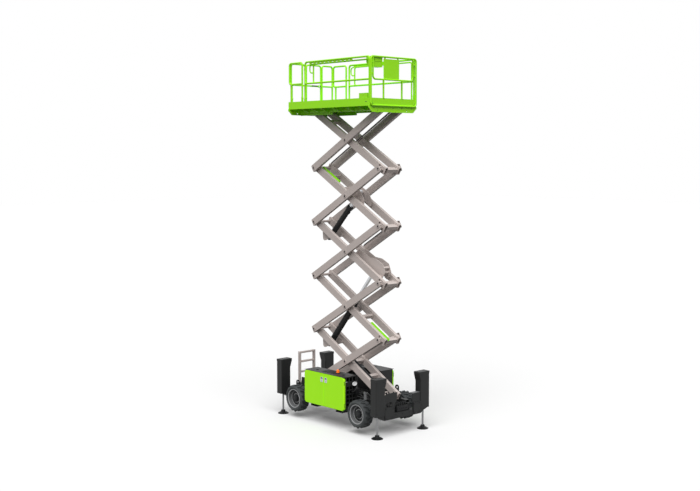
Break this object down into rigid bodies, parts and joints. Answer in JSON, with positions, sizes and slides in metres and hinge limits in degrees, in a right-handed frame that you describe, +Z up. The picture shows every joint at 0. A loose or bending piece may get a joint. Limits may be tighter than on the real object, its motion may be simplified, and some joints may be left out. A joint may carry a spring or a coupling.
{
  "type": "rough-terrain scissor lift",
  "caption": "Mobile scissor lift on four outrigger jacks, with a stacked arm linkage, guard-railed platform with roll-out deck, hoods and steerable wheels.",
  "frame": {"origin": "on the floor, midway between the four jack feet", "axes": "+Z up; +X towards the steering end; +Y towards the machine's left side"},
  "size_m": [3.8459, 1.824, 9.042],
  "materials": {
    "frame_black": "gloss",
    "arm_taupe": "satin",
    "lime_green": "gloss",
    "rod_chrome": "polished",
    "rim_grey": "satin",
    "tyre_rubber": "matt",
    "hose_black": "satin",
    "beacon_orange": "gloss"
  },
  "bodies": {
    "chassis": {"chassis_frame": "frame_black", "scissor_front_mounts": "arm_taupe", "front_crossbeam": "frame_black", "rear_crossbeam": "frame_black", "front_cover": "frame_black", "outrigger_housings": "frame_black", "hood_right": "frame_black", "hood_left": "frame_black", "engine_block": "frame_black", "hydraulic_tank": "frame_black", "beacon": "beacon_orange", "ladder": "arm_taupe", "front_axle": "frame_black", "rear_axle": "frame_black"},
    "inner_arm_1": {"inner_arm_1": "arm_taupe", "hose_bundle": "hose_black"},
    "outer_arm_1": {"outer_arm_1": "arm_taupe", "hose_run_1": "hose_black"},
    "inner_arm_2": {"inner_arm_2": "arm_taupe"},
    "outer_arm_2": {"outer_arm_2": "arm_taupe"},
    "inner_arm_3": {"inner_arm_3": "arm_taupe"},
    "outer_arm_3": {"outer_arm_3": "arm_taupe", "hose_run_3": "hose_black"},
    "inner_arm_4": {"inner_arm_4": "arm_taupe"},
    "outer_arm_4": {"outer_arm_4": "arm_taupe"},
    "inner_arm_5": {"inner_arm_5": "arm_taupe"},
    "outer_arm_5": {"outer_arm_5": "arm_taupe", "hose_run_5": "hose_black"},
    "platform": {"platform_deck": "lime_green", "rail_right": "lime_green", "rail_left": "lime_green", "rail_rear": "lime_green"},
    "lower_barrel": {"lower_barrel": "frame_black"},
    "lower_rod": {"lower_rod": "rod_chrome"},
    "upper_barrel": {"upper_barrel": "frame_black"},
    "upper_rod": {"upper_rod": "rod_chrome"},
    "extension": {"extension_deck": "lime_green", "extension_rail_right": "lime_green", "extension_rail_left": "lime_green", "extension_rail_front": "lime_green", "control_box": "lime_green"},
    "gate": {"entry_gate": "lime_green"},
    "door_right_front": {"door_right_front": "lime_green"},
    "door_right_rear": {"door_right_rear": "lime_green"},
    "door_left_front": {"door_left_front": "lime_green"},
    "door_left_rear": {"door_left_rear": "lime_green"},
    "knuckle_right": {"knuckle_right": "frame_black"},
    "knuckle_left": {"knuckle_left": "frame_black"},
    "wheel_front_right": {"rim_front_right": "rim_grey", "tyre_front_right": "tyre_rubber"},
    "wheel_front_left": {"rim_front_left": "rim_grey", "tyre_front_left": "tyre_rubber"},
    "wheel_rear_right": {"rim_rear_right": "rim_grey", "tyre_rear_right": "tyre_rubber"},
    "wheel_rear_left": {"rim_rear_left": "rim_grey", "tyre_rear_left": "tyre_rubber"},
    "jack_front_right": {"jack_front_right": "rod_chrome"},
    "jack_front_left": {"jack_front_left": "rod_chrome"},
    "jack_rear_right": {"jack_rear_right": "rod_chrome"},
    "jack_rear_left": {"jack_rear_left": "rod_chrome"}
  },
  "joints": [
    {"name": "lift", "type": "hinge", "parent": "chassis", "child": "inner_arm_1", "pos_m": [1.36, 0, 0.9], "axis": [0, 1, 0], "range_deg": [-26, 22]},
    {"name": "centre_pivot_1", "type": "hinge", "parent": "inner_arm_1", "child": "outer_arm_1", "pos_m": [0.16922, 0, 1.5875], "axis": [0, 1, 0], "range_deg": [-44, 52]},
    {"name": "front_pivot_2", "type": "hinge", "parent": "outer_arm_1", "child": "inner_arm_2", "pos_m": [1.36, 0, 2.275], "axis": [0, 1, 0], "range_deg": [-52, 44]},
    {"name": "centre_pivot_2", "type": "hinge", "parent": "inner_arm_2", "child": "outer_arm_2", "pos_m": [0.16922, 0, 2.9625], "axis": [0, 1, 0], "range_deg": [-44, 52]},
    {"name": "front_pivot_3", "type": "hinge", "parent": "outer_arm_2", "child": "inner_arm_3", "pos_m": [1.36, 0, 3.65], "axis": [0, 1, 0], "range_deg": [-52, 44]},
    {"name": "centre_pivot_3", "type": "hinge", "parent": "inner_arm_3", "child": "outer_arm_3", "pos_m": [0.16922, 0, 4.3375], "axis": [0, 1, 0], "range_deg": [-44, 52]},
    {"name": "front_pivot_4", "type": "hinge", "parent": "outer_arm_3", "child": "inner_arm_4", "pos_m": [1.36, 0, 5.025], "axis": [0, 1, 0], "range_deg": [-52, 44]},
    {"name": "centre_pivot_4", "type": "hinge", "parent": "inner_arm_4", "child": "outer_arm_4", "pos_m": [0.16922, 0, 5.7125], "axis": [0, 1, 0], "range_deg": [-44, 52]},
    {"name": "front_pivot_5", "type": "hinge", "parent": "outer_arm_4", "child": "inner_arm_5", "pos_m": [1.36, 0, 6.4], "axis": [0, 1, 0], "range_deg": [-52, 44]},
    {"name": "centre_pivot_5", "type": "hinge", "parent": "inner_arm_5", "child": "outer_arm_5", "pos_m": [0.16922, 0, 7.0875], "axis": [0, 1, 0], "range_deg": [-44, 52]},
    {"name": "platform_level", "type": "hinge", "parent": "outer_arm_5", "child": "platform", "pos_m": [1.36, 0, 7.775], "axis": [0, 1, 0], "range_deg": [-26, 22]},
    {"name": "lower_cylinder_pivot", "type": "hinge", "parent": "inner_arm_1", "child": "lower_barrel", "pos_m": [-0.80036, 0, 1.87015], "axis": [0, 1, 0], "range_deg": [-41.32, 48.83]},
    {"name": "lower_cylinder_stroke", "type": "slide", "parent": "lower_barrel", "child": "lower_rod", "axis": [0.6368, 0, 0.7711], "range_m": [-0.7973, 0.6747]},
    {"name": "upper_cylinder_pivot", "type": "hinge", "parent": "inner_arm_3", "child": "upper_barrel", "pos_m": [-0.80036, 0, 4.62015], "axis": [0, 1, 0], "range_deg": [-37.18, 43.94]},
    {"name": "upper_cylinder_stroke", "type": "slide", "parent": "upper_barrel", "child": "upper_rod", "axis": [0.6916, 0, 0.7223], "range_m": [-0.3402, 0.2879]},
    {"name": "extension_slide", "type": "slide", "parent": "platform", "child": "extension", "axis": [1, 0, 0], "range_m": [0, 1.2]},
    {"name": "gate_hinge", "type": "hinge", "parent": "platform", "child": "gate", "pos_m": [-1.4957, -0.235, 8.5], "axis": [0, 0, -1], "range_deg": [0, 90]},
    {"name": "door_right_front_hinge", "type": "hinge", "parent": "chassis", "child": "door_right_front", "pos_m": [0.683, -0.853, 0.9], "axis": [0, 0, 1], "range_deg": [0, 90]},
    {"name": "door_right_rear_hinge", "type": "hinge", "parent": "chassis", "child": "door_right_rear", "pos_m": [-0.813, -0.853, 0.9], "axis": [0, 0, -1], "range_deg": [0, 90]},
    {"name": "door_left_front_hinge", "type": "hinge", "parent": "chassis", "child": "door_left_front", "pos_m": [0.683, 0.853, 0.9], "axis": [0, 0, -1], "range_deg": [0, 90]},
    {"name": "door_left_rear_hinge", "type": "hinge", "parent": "chassis", "child": "door_left_rear", "pos_m": [-0.813, 0.853, 0.9], "axis": [0, 0, 1], "range_deg": [0, 90]},
    {"name": "steer_right", "type": "hinge", "parent": "chassis", "child": "knuckle_right", "pos_m": [1.151, -0.6, 0.492], "axis": [0, 0, 1], "range_deg": [-30, 30]},
    {"name": "steer_left", "type": "hinge", "parent": "chassis", "child": "knuckle_left", "pos_m": [1.151, 0.6, 0.492], "axis": [0, 0, 1], "range_deg": [-30, 30]},
    {"name": "spin_front_right", "type": "hinge", "parent": "knuckle_right", "child": "wheel_front_right", "pos_m": [1.151, -0.735, 0.492], "axis": [0, 1, 0], "continuous": true},
    {"name": "spin_front_left", "type": "hinge", "parent": "knuckle_left", "child": "wheel_front_left", "pos_m": [1.151, 0.735, 0.492], "axis": [0, 1, 0], "continuous": true},
    {"name": "spin_rear_right", "type": "hinge", "parent": "chassis", "child": "wheel_rear_right", "pos_m": [-1.23, -0.735, 0.492], "axis": [0, 1, 0], "continuous": true},
    {"name": "spin_rear_left", "type": "hinge", "parent": "chassis", "child": "wheel_rear_left", "pos_m": [-1.23, 0.735, 0.492], "axis": [0, 1, 0], "continuous": true},
    {"name": "jack_front_right_lift", "type": "slide", "parent": "chassis", "child": "jack_front_right", "axis": [0, 0, 1], "range_m": [0, 0.37]},
    {"name": "jack_front_left_lift", "type": "slide", "parent": "chassis", "child": "jack_front_left", "axis": [0, 0, 1], "range_m": [0, 0.37]},
    {"name": "jack_rear_right_lift", "type": "slide", "parent": "chassis", "child": "jack_rear_right", "axis": [0, 0, 1], "range_m": [0, 0.37]},
    {"name": "jack_rear_left_lift", "type": "slide", "parent": "chassis", "child": "jack_rear_left", "axis": [0, 0, 1], "range_m": [0, 0.37]}
  ],
  "couplings": [
    {"joint": "centre_pivot_1", "follows": "lift", "ratio": -2},
    {"joint": "front_pivot_2", "follows": "lift", "ratio": 2},
    {"joint": "centre_pivot_2", "follows": "lift", "ratio": -2},
    {"joint": "front_pivot_3", "follows": "lift", "ratio": 2},
    {"joint": "centre_pivot_3", "follows": "lift", "ratio": -2},
    {"joint": "front_pivot_4", "follows": "lift", "ratio": 2},
    {"joint": "centre_pivot_4", "follows": "lift", "ratio": -2},
    {"joint": "front_pivot_5", "follows": "lift", "ratio": 2},
    {"joint": "centre_pivot_5", "follows": "lift", "ratio": -2},
    {"joint": "platform_level", "follows": "lift", "ratio": 1},
    {"joint": "lower_cylinder_pivot", "follows": "lift", "ratio": -1.878},
    {"joint": "lower_cylinder_stroke", "follows": "lift", "m_per_rad": 1.7566},
    {"joint": "upper_cylinder_pivot", "follows": "lift", "ratio": -1.69},
    {"joint": "upper_cylinder_stroke", "follows": "lift", "m_per_rad": 0.74927},
    {"joint": "steer_left", "follows": "steer_right", "ratio": 1}
  ]
}
